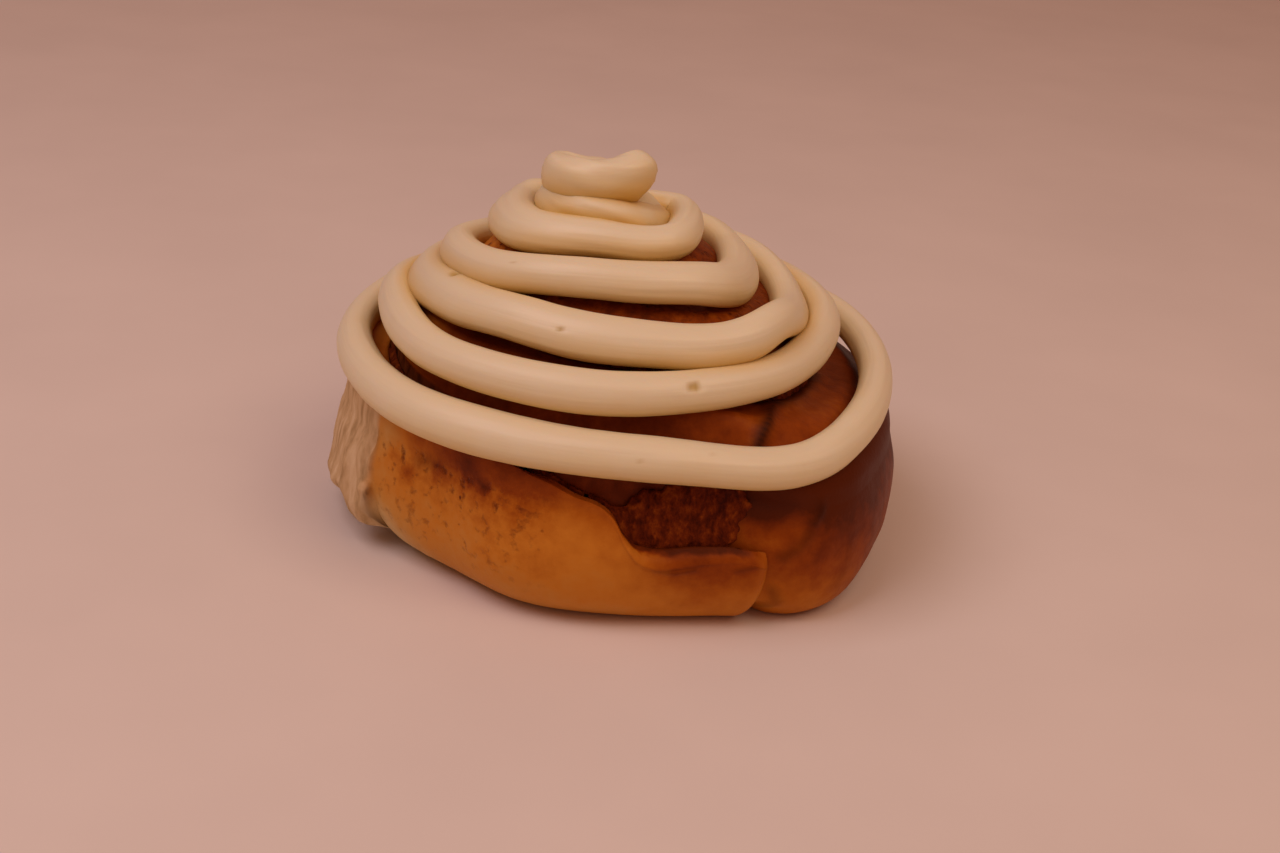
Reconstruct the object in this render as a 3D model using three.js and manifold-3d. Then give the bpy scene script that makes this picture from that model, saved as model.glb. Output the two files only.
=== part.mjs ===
// A cinnamon roll: a rolled strip of baked dough, the cinnamon filling between its turns,
// and a rope of icing piped round and up it. Millimetres, +Z up. The front faces -Y.
// Bearings run from the front (0) by the right (90) and the back (180) to the left (270).

import * as THREE from "three";
import { mergeVertices } from "three/addons/utils/BufferGeometryUtils.js";
import Module from "manifold-3d";

const wasm = await Module();
wasm.setup();

const { degToRad, smoothstep, lerp } = THREE.MathUtils;

// Plan of the bun: its reach from the middle at every 22.5 degrees of bearing, from the front.
const OUTLINE_REACH = [46.5, 47.5, 52.5, 50.5, 50.3, 51, 52, 50, 47.5, 48.5, 51, 53, 54, 51, 46.5, 47.5];
const APEX = { x: -8, y: -5 };

// Dome over the turns: height = DOME_TOP - DOME_DROP * fraction ^ DOME_POWER.
const DOME_TOP = 59.8;
const DOME_DROP = 34;
const DOME_POWER = 1.95;

// How far the dome stands above (or below) that rule towards each side, by fraction of the reach.
const DOME_FRONT = [[0, 0], [0.26, 0.4], [0.41, -1], [0.64, 0.6], [0.76, 0.4], [0.88, -0.8], [1, 0.4]];
const DOME_RIGHT = [[0, 0], [0.25, -0.2], [0.42, -1.4], [0.56, -3.6], [0.68, -4.4], [0.86, -3.4], [1, 0.8]];
const DOME_BACK = [[0, 0], [0.28, -1.6], [0.45, -2.2], [0.7, -1.4], [1, -0.4]];
const DOME_LEFT = [[0, 0], [0.31, 0.4], [0.46, -0.3], [0.58, -1.3], [0.72, -2.4], [0.92, 1], [1, 0.6]];

// The rolled strip: where it starts, how far it is rolled, and the share of the reach that
// the seam outside it has at each angle of rolling.
const TAIL_BEARING = 32;
const ROLLED_ANGLE = 1290;
const FULL_TURN = 360;
const SEAM_SHARE = [
  [0, 1], [345, 1], [353, 0.995], [360, 0.966], [370, 0.936], [392, 0.91], [426, 0.885], [482, 0.79],
  [572, 0.725], [662, 0.69], [700, 0.675], [752, 0.6], [842, 0.51], [932, 0.46], [1022, 0.41],
  [1112, 0.3], [1202, 0.2], [1290, 0.1], [1312, 0.035], [1660, 0.035],
];
const SEAM_GAP = 1.8;
const WALL_LEAN = 0.21;
const WALL_RISES = [0, 0.3, 0.65, 1];
const WALL_BULGE = 0.12;
const LIP_ROUNDING = 2.6;
const TOP_PLACES = [0.04, 0.12, 0.26, 0.45, 0.64, 0.82, 1];
const CROWN_RISE = 0.4;

// Depth of the groove at each seam, by angle of rolling, and height of the strip's low tail.
const GROOVE_DEPTH = [
  [360, 3], [482, 4.5], [572, 5], [640, 5], [696, 5], [714, 5], [760, 4.5], [900, 4], [1290, 2],
];
const TAIL_HEIGHT = [
  [0, 13.6], [8, 15], [14, 15], [23, 14.4], [26, 14.8], [28, 15.8], [30.5, 18.5], [33, 22], [36.5, 24],
  [41, 25], [47, 27], [56, 28.8], [66, 31], [90, 38],
];
const TAIL_LENGTH = 90;
// The low tail's upper side rises inwards by this much, up to this angle of rolling.
const LEDGE_RISE = 1.6;
const LEDGE_LENGTH = 31;
// Where the skin passes under the tail, by angle of rolling.
const OVERLAP_FROM = 350;
const OVERLAP_TO = 364;

// Outer skin: how far its foot and its shoulder are rounded in. The lobe beside the tail has a
// fuller foot.
const FOOT_INSET = 10;
const LOBE_FOOT_GAIN = 2.6;
const LOBE_BEARING = 54;
const LOBE_SPREAD = 24;
const FOOT_HEIGHT = 13;
const FOOT_LEVELS = [0, 4, FOOT_HEIGHT];
const SKIN_LEVELS = [0, 1.2, 4, 8, 13, 18.5, 23];
const SHOULDER_HEIGHT = 23;
const SHOULDER_INSET = 1.6;
const CORE_RADIUS = 3;

// Torn side, where the bun was pulled off its neighbour: bearings, and the depth of its fibres.
const TORN_FROM = 243;
const TORN_TO = 297;
const TORN_FIBRE_DEPTH = 0.9;
const TORN_FOOT_INSET = 4;
// Inset of the torn side by height: it bulges out below and draws in under the icing.
const TORN_INSET = [[0, -4.2], [5, -3.7], [9, -2.4], [14, -1.4], [18, -0.5], [21, 0.7], [23, 1.4]];
// How far the ragged foot hangs over the floor, by bearing.
const FOOT_LIFT = [
  [262, 0], [270, 4.2], [279, 5], [284, 7], [288.6, 7.8], [290.8, 4.4], [294, 4.2], [296.4, 4.4],
  [298.5, 1.6], [302, 0.6], [308, 0],
];

// Filling: a thin sheet in the seam, and how far it shows above the dough outside it.
const FILLING_THICKNESS = 1;
const FILLING_START = 362;
const FILLING_FLOOR = 0.3;
const FILLING_SHOWN = [
  [360, 12.2], [367, 12.8], [373, 12.4], [378, 11.6], [384, 10.6], [388, 8], [391, 3.4], [394, 1],
  [1290, 0.8],
];

// Icing rope: reach and height of its centre line on each side, one value for each turn.
const ICING_BACK = {
  reach: [42.2, 43.5, 34.4, 28, 18.2, 3.1, -0.1],
  height: [36.7, 34.2, 42.7, 49.4, 54.6, 60.6, 65.6],
};
const ICING_LEFT = {
  reach: [-51.3, -43.8, -38, -32.6, -23.4, -15.6, -14.7],
  height: [34.6, 42.5, 46.2, 51.6, 58.6, 63.7, 66.9],
};
const ICING_FRONT = {
  reach: [-43.6, -38.9, -31.4, -24, -16.6, -11.8, -9.8],
  height: [32.7, 41.5, 47.9, 55.8, 60.5, 63.3, 67.8],
};
const ICING_RIGHT = {
  reach: [44.4, 33.9, 26.7, 17.3, 6.5, 0.6, -0.2],
  height: [33.9, 42.7, 45.6, 51.5, 60.5, 60, 71.6],
};

// Fullness of the rope's corners in plan: 1 is a round turn, more is a squarer one.
const CORNER_BACK_LEFT = [1.06, 0.95, 0.99, 0.77, 0.89, 0.79, 0.75];
const CORNER_FRONT_LEFT = [1.01, 1.03, 0.98, 1, 1.05, 0.9, 1];
const CORNER_FRONT_RIGHT = [1.09, 1.03, 1.16, 1.16, 1.3, 1.02, 1];
const CORNER_BACK_RIGHT = [1.11, 1.02, 1.07, 1.08, 1.05, 0.76];

// Width and thickness of the rope by turn, and where its line rises or sinks as it was piped.
const ROPE_WIDTH = [
  [0, 7.5], [0.25, 7], [0.42, 8.2], [0.6, 7.3], [0.8, 6], [1, 7.6], [1.5, 7.1], [2.15, 7.4],
  [2.4, 8.9], [2.7, 6.5], [3, 6.1], [3.5, 7], [3.75, 9], [4, 7.2], [4.25, 9.2], [4.45, 7.6],
  [4.6, 6.4], [4.8, 6.6], [5, 7.2], [6, 7.3],
];
const ROPE_WAVERS = [
  [0.6, -2.9], [2.35, 1], [2.42, 1.4], [2.65, 3.1], [3.6, 1.2], [4.18, 1.2], [4.57, -0.5],
];
const WAVER_SPREAD = 0.05;
const KNOTS_IN_TURN = 8;
const ROPE_THICKNESS = [
  [0, 6.1], [5, 6.1], [5.5, 6.8], [6.1, 8.2], [6.3, 9.8], [6.48, 9.8], [6.65, 7.8], [6.75, 7.2],
];
const ROPE_TILT_LOW = 50;
const ROPE_TILT_HIGH = 20;
const ROPE_SIDES = 10;
const ROPE_STEP = 6.2;
const ROPE_TIP_STEP = 3;
const ROPE_PIECE_STEPS = 14;
const BED_CLEARANCE = 0.4;
const BED_SIDES = 40;
const BED_RINGS = 8;

// A smooth function through [position, value] knots, level before the first and after the last.
function curveThrough(knots) {
  return (position) => {
    if (position <= knots[0][0]) return knots[0][1];
    const last = knots.length - 1;
    if (position >= knots[last][0]) return knots[last][1];
    let index = 0;
    while (position > knots[index + 1][0]) index += 1;
    const [start, startValue] = knots[index];
    const [end, endValue] = knots[index + 1];
    const slope = (endValue - startValue) / (end - start);
    const startSlope = easedSlope(knots, index - 1, slope);
    const endSlope = easedSlope(knots, index + 1, slope);
    const t = (position - start) / (end - start);
    const run = end - start;
    return (
      startValue * (1 + 2 * t) * (1 - t) ** 2 +
      startSlope * run * t * (1 - t) ** 2 +
      endValue * t * t * (3 - 2 * t) -
      endSlope * run * t * t * (1 - t)
    );
  };
}

// Slope at a knot: the mean of the slopes beside it, or 0 where they turn back on each other.
function easedSlope(knots, index, slope) {
  if (index < 0 || index + 1 >= knots.length) return slope;
  const beside = (knots[index + 1][1] - knots[index][1]) / (knots[index + 1][0] - knots[index][0]);
  return beside * slope <= 0 ? 0 : (2 * beside * slope) / (beside + slope);
}

const domeFront = curveThrough(DOME_FRONT);
const domeRight = curveThrough(DOME_RIGHT);
const domeBack = curveThrough(DOME_BACK);
const domeLeft = curveThrough(DOME_LEFT);
const seamShare = curveThrough(SEAM_SHARE);
const grooveDepth = curveThrough(GROOVE_DEPTH);
const tailHeight = curveThrough(TAIL_HEIGHT);
const tornInset = curveThrough(TORN_INSET);
const footLift = curveThrough(FOOT_LIFT);
const fillingShown = curveThrough(FILLING_SHOWN);
const ropeWidth = curveThrough(ROPE_WIDTH);
const ropeThickness = curveThrough(ROPE_THICKNESS);

// The same bearing between 0 and 360.
function wholeBearing(bearing) {
  return THREE.MathUtils.euclideanModulo(bearing, FULL_TURN);
}

// Reach of the outline at a bearing, by a smooth closed curve through its sixteen values.
function outlineReach(bearing) {
  const count = OUTLINE_REACH.length;
  const place = (wholeBearing(bearing) / FULL_TURN) * count;
  const index = Math.floor(place) % count;
  const t = place - index;
  const [a, b, c, d] = [-1, 0, 1, 2].map((shift) => OUTLINE_REACH[(index + shift + count) % count]);
  return b + 0.5 * t * (c - a + t * (2 * a - 5 * b + 4 * c - d + t * (3 * (b - c) + d - a)));
}

// Point of the bun at a share of the reach: the plan shrinks towards the apex and at the foot.
function bunPoint(share, bearing, height, inset = 0) {
  const angle = degToRad(bearing);
  const reach = share * (outlineReach(bearing) - inset);
  return new THREE.Vector3(
    APEX.x * (1 - share) + reach * Math.sin(angle),
    APEX.y * (1 - share) - reach * Math.cos(angle),
    height,
  );
}

function domeHeight(share, bearing) {
  const angle = degToRad(bearing);
  const across = Math.sin(angle);
  const along = Math.cos(angle);
  const frontBack = (along > 0 ? domeFront(share) : domeBack(share)) * along * along;
  const leftRight = (across > 0 ? domeRight(share) : domeLeft(share)) * across * across;
  return DOME_TOP - DOME_DROP * share ** DOME_POWER + frontBack + leftRight;
}

// How torn the side is at a bearing, from 0 (crust) to 1.
function tornness(bearing) {
  const turned = wholeBearing(bearing);
  const begun = smoothstep(turned, TORN_FROM - 4, TORN_FROM + 4);
  const ended = smoothstep(turned, TORN_TO - 1.5, TORN_TO + 0.5);
  return begun * (1 - ended);
}

// Share of the foot's inset that is left at a height.
function footRounding(height) {
  const below = Math.max(0, 1 - height / FOOT_HEIGHT);
  return 1 - Math.sqrt(1 - below ** 2.1);
}

// How far the skin's foot is rounded in at a height.
function skinFootInset(bearing, height) {
  const fromLobe = (wholeBearing(bearing) - LOBE_BEARING) / LOBE_SPREAD;
  const inset = FOOT_INSET - LOBE_FOOT_GAIN * Math.exp(-(fromLobe ** 2));
  return lerp(inset, TORN_FOOT_INSET, tornness(bearing)) * footRounding(height);
}

// The same for faces inside the bun, which are straight between the foot's levels.
function buriedFootInset(height) {
  const upper = height < FOOT_LEVELS[1] ? 1 : 2;
  const [low, high] = [FOOT_LEVELS[upper - 1], FOOT_LEVELS[upper]];
  const place = Math.min(1, (height - low) / (high - low));
  return FOOT_INSET * lerp(footRounding(low), footRounding(high), place);
}

// Uneven upright fibres of the torn side.
function tornFibre(bearing, height) {
  const broad = Math.sin(bearing * 1.37);
  const narrow = 0.7 * Math.sin(bearing * 2.9 + height * 0.12);
  const crossing = 0.5 * Math.sin(height * 0.45 + bearing);
  return (TORN_FIBRE_DEPTH * (broad + narrow + crossing)) / 2;
}

// Height of the strip's upper side beside its inner seam, which is the foot of the next wall.
function seamHeight(rolled) {
  const share = seamShare(rolled);
  const bearing = TAIL_BEARING - rolled;
  const height = domeHeight(share, bearing) - grooveDepth(rolled);
  return Math.min(height, tailCeiling(rolled - FULL_TURN));
}

// The strip stays under this height near its outer end.
function tailCeiling(rolled) {
  return rolled < TAIL_LENGTH ? tailHeight(rolled) : Infinity;
}

// Inset of the outer skin above the foot: rounded at the shoulder, fibrous where it is torn.
function skinInset(bearing, height) {
  const torn = tornness(bearing);
  const above = Math.max(0, (height - FOOT_HEIGHT) / (SHOULDER_HEIGHT - FOOT_HEIGHT));
  return lerp(SHOULDER_INSET * above ** 2, tornInset(height) + tornFibre(bearing, height), torn);
}

// Cross-section of the strip at an angle of rolling: up the outer side, over the top, and down.
function stripSection(rolled) {
  const bearing = TAIL_BEARING - rolled;
  const reach = outlineReach(bearing);
  const buried = smoothstep(rolled, OVERLAP_FROM, OVERLAP_TO);
  const outerShare = seamShare(rolled) - (buried * SEAM_GAP) / 2 / reach;
  const innerShare = seamShare(rolled + FULL_TURN) + SEAM_GAP / 2 / reach;
  const ceiling = tailCeiling(rolled);
  const ledge = LEDGE_RISE * (1 - smoothstep(rolled, LEDGE_LENGTH - 6, LEDGE_LENGTH));
  const foot = rolled >= OVERLAP_FROM ? seamHeight(rolled) : 0;
  const width = (outerShare - innerShare) * reach;
  const rounding = Math.min(LIP_ROUNDING, width * 0.45);

  const topHeight = (across) => {
    const share = lerp(outerShare, innerShare, across);
    const groove = grooveDepth(rolled + FULL_TURN) * smoothstep(across, 0.4, 1) ** 1.2;
    const height = domeHeight(share, bearing) + CROWN_RISE - groove;
    const lip = Math.max(0, 1 - (across * width) / rounding);
    return Math.min(height, ceiling + ledge * across) - rounding * (1 - Math.sqrt(1 - lip * lip));
  };

  const wallTop = lerp(Math.min(SHOULDER_HEIGHT, ceiling - rounding), topHeight(0), buried);
  const skinHeights = SKIN_LEVELS.map((height) => (height / SHOULDER_HEIGHT) * wallTop);
  const wallHeights = [...FOOT_LEVELS, ...WALL_RISES.map((rise) => lerp(foot, wallTop, rise))];
  const lift = footLift(wholeBearing(bearing)) * (1 - buried);
  const places = skinHeights.map((skinHeight, index) => {
    const low = Math.max(0, 1 - skinHeight / FOOT_HEIGHT);
    const height = lerp(skinHeight, wallHeights[index], buried) + lift * low;
    const bulge = WALL_BULGE * Math.sin(Math.PI * (WALL_RISES[index - FOOT_LEVELS.length] ?? 0));
    const lean = foot > 0 ? WALL_LEAN * Math.max(0, height - foot) - bulge : 0;
    const inset = lerp(skinInset(bearing, height), lean, buried);
    const share = outerShare - inset / reach;
    return { share, height, inset: lerp(skinFootInset(bearing, height), buriedFootInset(height), buried) };
  });
  const wallInset = outerShare - places[places.length - 1].share;
  for (const across of TOP_PLACES) {
    const share = lerp(outerShare, innerShare, across) - wallInset * (1 - across) ** 2;
    places.push({ share, height: topHeight(across), inset: 0 });
  }
  for (const height of [...FOOT_LEVELS].reverse()) {
    places.push({ share: innerShare, height, inset: buriedFootInset(height) });
  }
  return makeSection(places, bearing);
}

// Section of the filling sheet in the seam outside the strip at an angle of rolling.
function fillingSection(rolled) {
  const bearing = TAIL_BEARING - rolled;
  const reach = outlineReach(bearing);
  const foot = seamHeight(rolled);
  const uneven = 0.4 * Math.sin(rolled * 0.05) + 0.3 * Math.sin(rolled * 0.16 + 1);
  const top = foot + fillingShown(rolled) + uneven;
  const side = (edge) => {
    return [FILLING_FLOOR, ...FOOT_LEVELS.slice(1), foot, top].map((height) => {
      const lean = WALL_LEAN * Math.max(0, height - foot);
      const thin = height === top ? 0.7 : 1;
      const share = seamShare(rolled) + ((edge * FILLING_THICKNESS * thin) / 2 - lean) / reach;
      return { share, height, inset: buriedFootInset(height) };
    });
  };
  return makeSection([...side(1), ...side(-1).reverse()], bearing);
}

// A section's points in space, and the same points in its own plane.
function makeSection(places, bearing) {
  const reach = outlineReach(bearing);
  return {
    points: places.map((place) => bunPoint(place.share, bearing, place.height, place.inset)),
    flat: places.map((place) => new THREE.Vector2(place.share * (reach - place.inset), place.height)),
  };
}

// Closed surface through a row of sections, with flat ends.
function loft(sections) {
  const count = sections[0].points.length;
  const positions = sections.flatMap((section) => section.points.flatMap((point) => point.toArray()));
  const indices = [];
  for (let row = 0; row < sections.length - 1; row += 1) {
    for (let column = 0; column < count; column += 1) {
      const a = row * count + column;
      const b = row * count + ((column + 1) % count);
      indices.push(a, b, b + count, a, b + count, a + count);
    }
  }
  indices.push(...endCap(sections[0].flat, 0, true));
  indices.push(...endCap(sections[sections.length - 1].flat, (sections.length - 1) * count, false));
  const geometry = new THREE.BufferGeometry();
  geometry.setAttribute("position", new THREE.Float32BufferAttribute(positions, 3));
  geometry.setIndex(indices);
  return facingOut(geometry);
}

// Triangles over a section, turned the way that its loop turns, or the other way.
function endCap(flat, offset, reversed) {
  const triangles = THREE.ShapeUtils.triangulateShape(flat, []);
  const areas = triangles.map((corners) => THREE.ShapeUtils.area(corners.map((corner) => flat[corner])));
  const alike = areas.reduce((sum, area) => sum + area, 0) * THREE.ShapeUtils.area(flat) > 0;
  return triangles.flatMap(([a, b, c]) => {
    const triangle = alike === !reversed ? [a, b, c] : [a, c, b];
    return triangle.map((index) => index + offset);
  });
}

// The same surface with its faces pointing out, found from the sign of its volume.
function facingOut(geometry) {
  const position = geometry.getAttribute("position");
  const index = geometry.getIndex().array;
  const [a, b, c] = [new THREE.Vector3(), new THREE.Vector3(), new THREE.Vector3()];
  let volume = 0;
  for (let i = 0; i < index.length; i += 3) {
    a.fromBufferAttribute(position, index[i]);
    b.fromBufferAttribute(position, index[i + 1]);
    c.fromBufferAttribute(position, index[i + 2]);
    volume += a.dot(b.cross(c));
  }
  if (volume < 0) {
    for (let i = 0; i < index.length; i += 3) {
      [index[i + 1], index[i + 2]] = [index[i + 2], index[i + 1]];
    }
  }
  return geometry;
}

function toSolid(geometry) {
  const bare = geometry.clone();
  bare.deleteAttribute("normal");
  bare.deleteAttribute("uv");
  const merged = mergeVertices(bare, 1e-5);
  const vertProperties = new Float32Array(merged.getAttribute("position").array);
  const triVerts = new Uint32Array(merged.getIndex().array);
  return new wasm.Manifold(new wasm.Mesh({ numProp: 3, vertProperties, triVerts }));
}

function toGeometry(solid) {
  const mesh = solid.getMesh();
  const geometry = new THREE.BufferGeometry();
  geometry.setAttribute("position", new THREE.BufferAttribute(new Float32Array(mesh.vertProperties), 3));
  geometry.setIndex(new THREE.BufferAttribute(new Uint32Array(mesh.triVerts), 1));
  geometry.computeVertexNormals();
  return geometry;
}

// Angles of rolling at which the strip gets a section: closer on the torn side and at the tail.
function rollingAngles(from, to) {
  const angles = [];
  let rolled = from;
  while (rolled < to - 0.5) {
    angles.push(rolled);
    rolled += rollingStep(rolled);
  }
  angles.push(to);
  return angles;
}

function rollingStep(rolled) {
  if (rolled < 12) return 4;
  if (rolled < FULL_TURN && tornness(TAIL_BEARING - rolled) > 0) return 2.2;
  if (rolled > 338 && rolled < 380) return 4.2;
  if (rolled < FULL_TURN + 80) return 7.5;
  return rolled < 2 * FULL_TURN ? 9.5 : 14.5;
}

function doughGeometry() {
  const strip = loft(rollingAngles(0, ROLLED_ANGLE).map(stripSection));
  const core = new THREE.CylinderGeometry(CORE_RADIUS, CORE_RADIUS, DOME_TOP, 16);
  core.rotateX(Math.PI / 2);
  core.translate(APEX.x, APEX.y, DOME_TOP / 2);
  return toGeometry(toSolid(strip).add(toSolid(core)));
}

function fillingGeometry() {
  const angles = rollingAngles(0, ROLLED_ANGLE).filter((rolled) => rolled >= FILLING_START);
  return toGeometry(toSolid(loft(angles.map(fillingSection))));
}

// Centre line of the rope: four sides and four corners to a turn, from the back, turning left.
function ropeCurve() {
  const knots = [];
  const turns = ICING_LEFT.reach.length;
  for (let turn = 0; turn < turns; turn += 1) {
    const back = sideOf(ICING_BACK, turn);
    const left = sideOf(ICING_LEFT, turn);
    const front = sideOf(ICING_FRONT, turn);
    const right = sideOf(ICING_RIGHT, turn);
    const middleX = (left.reach + right.reach) / 2;
    const middleY = (front.reach + back.reach) / 2;
    const sidePoint = (x, y, side) => new THREE.Vector3(x, y, side.height);
    const cornerPoint = (across, along, fullness) => {
      return new THREE.Vector3(
        middleX + (across.reach - middleX) * fullness * Math.SQRT1_2,
        middleY + (along.reach - middleY) * fullness * Math.SQRT1_2,
        (across.height + along.height) / 2,
      );
    };
    knots.push(sidePoint(middleX, back.reach, back));
    knots.push(cornerPoint(left, back, CORNER_BACK_LEFT[turn]));
    knots.push(sidePoint(left.reach, middleY, left));
    knots.push(cornerPoint(left, front, CORNER_FRONT_LEFT[turn]));
    knots.push(sidePoint(middleX, front.reach, front));
    knots.push(cornerPoint(right, front, CORNER_FRONT_RIGHT[turn]));
    knots.push(sidePoint(right.reach, middleY, right));
    if (turn < turns - 1) {
      knots.push(cornerPoint(right, sideOf(ICING_BACK, turn + 1), CORNER_BACK_RIGHT[turn]));
    }
  }
  return new THREE.CatmullRomCurve3(knots, false, "centripetal");
}

function sideOf(side, turn) {
  return { reach: side.reach[turn], height: side.height[turn] };
}

// Section of the rope: an oval that lies flat against the slope that it rests on.
function ropeSection(curve, place, length) {
  const turn = (curve.getUtoTmapping(place) * (curve.points.length - 1)) / KNOTS_IN_TURN;
  const centre = curve.getPointAt(place);
  for (const [waverTurn, rise] of ROPE_WAVERS) {
    centre.z += rise * Math.exp(-(((turn - waverTurn) / WAVER_SPREAD) ** 2));
  }
  const forward = curve.getTangentAt(place);
  const outward = new THREE.Vector3(centre.x - APEX.x, centre.y - APEX.y, 0).normalize();
  const slope = degToRad(lerp(ROPE_TILT_LOW, ROPE_TILT_HIGH, smoothstep(centre.z, 52, 72)));
  const lift = new THREE.Vector3(0, 0, 1);
  const normal = outward.clone().multiplyScalar(Math.sin(slope)).addScaledVector(lift, Math.cos(slope));
  const across = new THREE.Vector3().crossVectors(forward, normal).normalize();
  normal.crossVectors(across, forward).normalize();
  const fromEnd = Math.min(place, 1 - place) * length;
  const taper = Math.sqrt(Math.max(0.12, 1 - Math.max(0, 1 - fromEnd / (ropeThickness(turn) / 2)) ** 2));
  const halfWidth = (ropeWidth(turn) * taper) / 2;
  const halfThickness = (ropeThickness(turn) * taper) / 2;
  const flat = [];
  for (let side = 0; side < ROPE_SIDES; side += 1) {
    const angle = (side / ROPE_SIDES) * 2 * Math.PI;
    flat.push(new THREE.Vector2(Math.cos(angle) * halfWidth, Math.sin(angle) * halfThickness));
  }
  const points = flat.map((p) => centre.clone().addScaledVector(across, p.x).addScaledVector(normal, p.y));
  return { points, flat };
}

// Solid under the rope: the dome, a little larger, which shapes the rope's underside.
function bedGeometry() {
  const sections = [];
  for (let side = 0; side <= BED_SIDES; side += 1) {
    const bearing = (side / BED_SIDES) * FULL_TURN;
    const grown = BED_CLEARANCE / outlineReach(bearing);
    const row = [bunPoint(0, bearing, 0)];
    row.push(bunPoint(1 + grown, bearing, 0));
    for (let ring = 0; ring <= BED_RINGS; ring += 1) {
      const share = 1 - ring / BED_RINGS;
      const height = domeHeight(share, bearing) + CROWN_RISE + BED_CLEARANCE * 1.4;
      row.push(bunPoint(share * (1 + grown), bearing, height));
    }
    sections.push(row);
  }
  return revolved(sections);
}

// Closed surface through upright rows that share their first and last points.
function revolved(rows) {
  const count = rows[0].length;
  const positions = rows.flatMap((row) => row.flatMap((point) => point.toArray()));
  const indices = [];
  for (let row = 0; row < rows.length - 1; row += 1) {
    for (let column = 0; column < count - 1; column += 1) {
      const a = row * count + column;
      const b = a + count;
      if (column > 0) indices.push(a, b, a + 1);
      if (column < count - 2) indices.push(b, b + 1, a + 1);
    }
  }
  const geometry = new THREE.BufferGeometry();
  geometry.setAttribute("position", new THREE.Float32BufferAttribute(positions, 3));
  geometry.setIndex(indices);
  return facingOut(mergeVertices(geometry, 1e-4));
}

// Distance to the rope's next section: shorter where its turns are small.
function ropeStep(run, length) {
  return lerp(ROPE_TIP_STEP, ROPE_STEP, smoothstep(length - run, 20, 260));
}

function icingGeometry() {
  const curve = ropeCurve();
  curve.arcLengthDivisions = 2000;
  const length = curve.getLength();
  const tip = ropeThickness(0) / 2 / length;
  const places = [0, 0.3 * tip];
  for (let place = tip; place < 1 - 1.4 * tip; place += ropeStep(place * length, length) / length) {
    places.push(place);
  }
  places.push(1 - tip, 1 - 0.3 * tip, 1);
  const sections = places.map((place) => ropeSection(curve, place, length));
  let rope = null;
  for (let start = 0; start < sections.length - 1; start += ROPE_PIECE_STEPS) {
    const piece = toSolid(loft(sections.slice(start, start + ROPE_PIECE_STEPS + 1)));
    rope = rope ? rope.add(piece) : piece;
  }
  return toGeometry(largestPiece(rope.subtract(toSolid(bedGeometry()))));
}

// The largest of a solid's separate surfaces: slivers and closed pockets between the turns go.
function largestPiece(solid) {
  return solid.decompose().reduce((a, b) => (a.volume() > b.volume() ? a : b));
}

function makePart(name, geometry, colour, roughness) {
  const material = new THREE.MeshStandardMaterial({ color: colour, roughness, metalness: 0 });
  const mesh = new THREE.Mesh(geometry, material);
  mesh.name = name;
  return mesh;
}

const roll = new THREE.Group();
roll.add(makePart("dough", doughGeometry(), 0xb4672a, 0.5));
roll.add(makePart("filling", fillingGeometry(), 0x4a2210, 0.7));
roll.add(makePart("icing", icingGeometry(), 0xf0dcb4, 0.4));

// The middle of the whole, seen from above, is put over the origin.
const box = new THREE.Box3().setFromObject(roll);
const middle = box.getCenter(new THREE.Vector3());
for (const mesh of roll.children) {
  mesh.geometry.translate(-middle.x, -middle.y, 0);
}

export default roll;
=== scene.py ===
import bmesh
import bpy
import numpy as np
from mathutils import Matrix, Vector, noise


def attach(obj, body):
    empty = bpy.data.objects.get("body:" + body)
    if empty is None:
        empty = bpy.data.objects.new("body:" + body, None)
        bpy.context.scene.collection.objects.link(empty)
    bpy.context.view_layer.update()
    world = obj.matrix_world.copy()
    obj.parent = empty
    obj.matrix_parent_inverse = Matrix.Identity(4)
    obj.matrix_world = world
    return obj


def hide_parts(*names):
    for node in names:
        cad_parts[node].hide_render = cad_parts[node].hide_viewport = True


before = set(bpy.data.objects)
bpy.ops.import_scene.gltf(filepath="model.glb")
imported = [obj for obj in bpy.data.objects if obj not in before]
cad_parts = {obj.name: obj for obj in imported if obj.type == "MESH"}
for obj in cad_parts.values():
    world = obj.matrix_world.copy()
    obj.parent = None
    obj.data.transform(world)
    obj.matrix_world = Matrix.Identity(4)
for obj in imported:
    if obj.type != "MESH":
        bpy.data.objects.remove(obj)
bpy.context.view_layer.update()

# A cinnamon roll: a rolled strip of baked dough, the filling in its seams and a rope of icing.
# The shapes are worked out in millimetres and stored in metres. The front faces -Y.
# Bearings run from the front (0) by the right (90) and the back (180) to the left (270).
MM = 0.001
FULL_TURN = 360.0
CENTRING = np.array([3.3128, -0.2884, 0.0])

# Plan and dome of the bun, as in the solids.
OUTLINE_REACH = [46.5, 47.5, 52.5, 50.5, 50.3, 51, 52, 50, 47.5, 48.5, 51, 53, 54, 51, 46.5, 47.5]
APEX = (-8.0, -5.0)
DOME_TOP = 59.8
DOME_DROP = 34.0
DOME_POWER = 1.95
# How far the dome departs from that fall on each side: share of the reach, rise in mm.
DOME_FRONT = [(0, 0), (0.26, 0.4), (0.41, -1), (0.64, 0.6), (0.76, 0.4), (0.88, -0.8), (1, 0.4)]
DOME_RIGHT = [(0, 0), (0.25, -0.2), (0.42, -1.4), (0.56, -3.6), (0.68, -4.4), (0.86, -3.4), (1, 0.8)]
DOME_BACK = [(0, 0), (0.28, -1.6), (0.45, -2.2), (0.7, -1.4), (1, -0.4)]
DOME_LEFT = [(0, 0), (0.31, 0.4), (0.46, -0.3), (0.58, -1.3), (0.72, -2.4), (0.92, 1), (1, 0.6)]

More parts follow.
